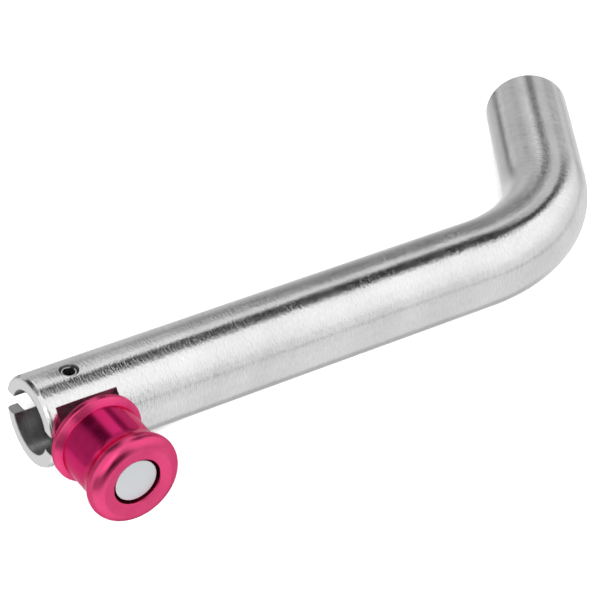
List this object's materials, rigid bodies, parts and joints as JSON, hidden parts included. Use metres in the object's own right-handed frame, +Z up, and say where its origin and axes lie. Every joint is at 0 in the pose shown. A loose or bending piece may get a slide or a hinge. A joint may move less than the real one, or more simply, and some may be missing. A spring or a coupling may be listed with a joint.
{
  "type": "hitch pin lock",
  "caption": "Bent steel hitch pin with a spring-loaded red knob that stands across its open end to lock it and swings in line to let it pass.",
  "frame": {"origin": "under the middle of the whole object's box, on the surface that it lies on", "axes": "+X from the pin's open end towards its bend, +Y the way the handle arm bends, +Z up along the pivot pin, away from the surface"},
  "size_m": [0.1395, 0.0652, 0.0162],
  "materials": {
    "satin_steel": "zinc-bright steel with a fine tumbled grain, satin",
    "spring_steel": "dark oiled spring steel",
    "plated_steel": "pale matt plating",
    "anodised_red": "turned aluminium, glossy magenta-red anodising",
    "black_nylon": "plain black nylon"
  },
  "bodies": {
    "pin": {"bent_pin": "satin_steel", "pivot_roll_pin": "spring_steel", "upper_eye_spacer": "black_nylon", "lower_eye_spacer": "black_nylon"},
    "swivel_head": {"swivel_shank": "plated_steel", "stem_cap": "plated_steel", "compression_spring": "spring_steel"},
    "sliding_knob": {"knob": "anodised_red", "spring_washer": "plated_steel"}
  },
  "joints": [
    {"name": "head_swivel", "type": "hinge", "parent": "pin", "child": "swivel_head", "pos_m": [-0.06165, -0.0102, 0.0081], "axis": [0, 0, -1], "range_deg": [0, 180]},
    {"name": "knob_pull", "type": "slide", "parent": "swivel_head", "child": "sliding_knob", "axis": [0, -1, 0], "range_m": [0, 0.0035], "stiffness_N_per_m": 800, "springref_m": -0.005, "deforming": ["compression_spring"]}
  ]
}
